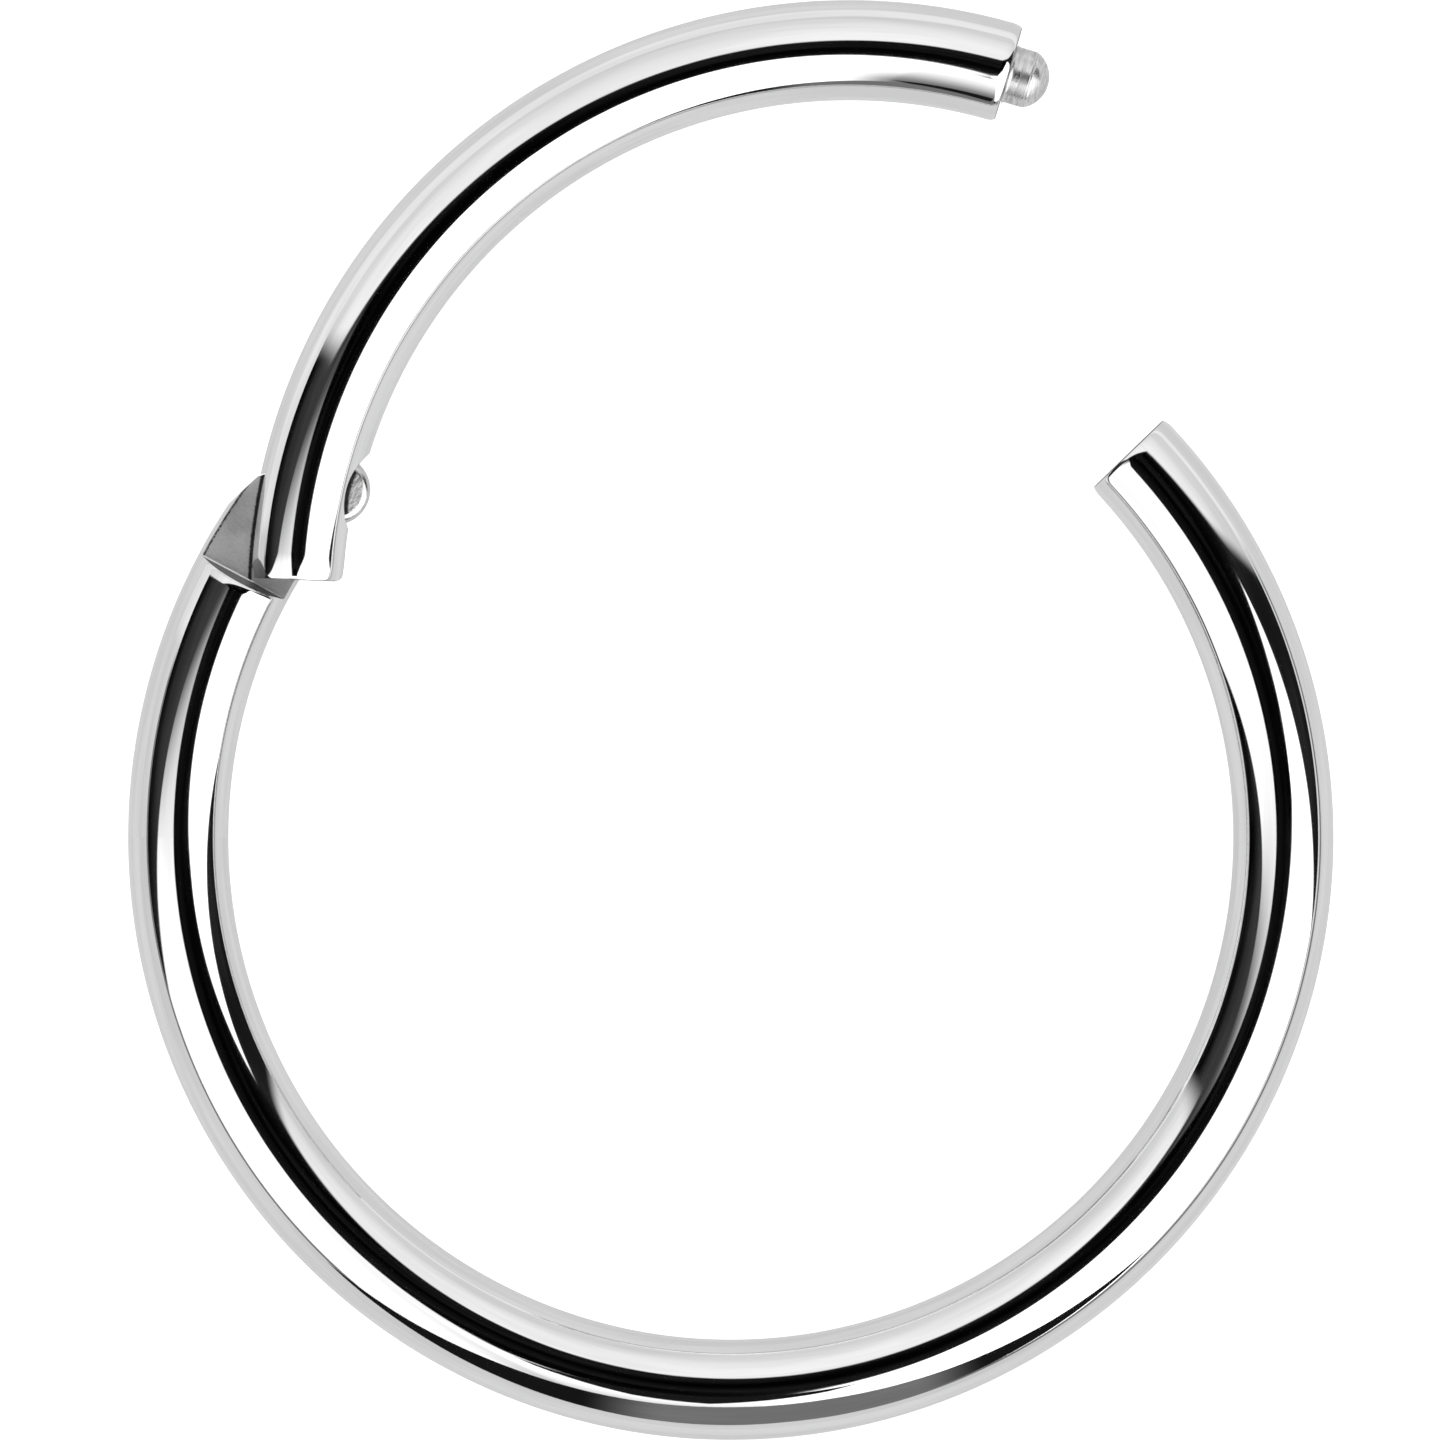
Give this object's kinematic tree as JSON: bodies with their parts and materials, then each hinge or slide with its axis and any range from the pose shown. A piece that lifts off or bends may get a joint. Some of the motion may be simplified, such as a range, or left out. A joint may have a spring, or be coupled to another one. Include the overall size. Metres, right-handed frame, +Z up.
{
  "type": "hinged segment ring",
  "caption": "Round-wire body-jewellery ring, shown open: a long fixed arc with a socket in its end and a short hinged segment whose round-ended pin clicks into it.",
  "frame": {"origin": "centre of the open outline's box, on the surface that the ring lies on", "axes": "+Z up, square to the ring; +Y towards the open segment's crown, with the hinge on the -X side"},
  "size_m": [0.0144, 0.0172, 0.0012],
  "materials": {
    "polished_steel": "mirror polish, ground flats at the hinge",
    "turned_steel": "turned, fine rings round the axis"
  },
  "bodies": {
    "ring": {"ring_arc": "polished_steel"},
    "segment": {"hinge_segment": "polished_steel", "hinge_pin": "turned_steel", "closure_pin": "turned_steel"}
  },
  "joints": [
    {"name": "segment_hinge", "type": "hinge", "parent": "ring", "child": "segment", "pos_m": [-0.00473, 0.00275, 0.0006], "axis": [0, 0, 1], "range_deg": [-28.9, 0]}
  ]
}
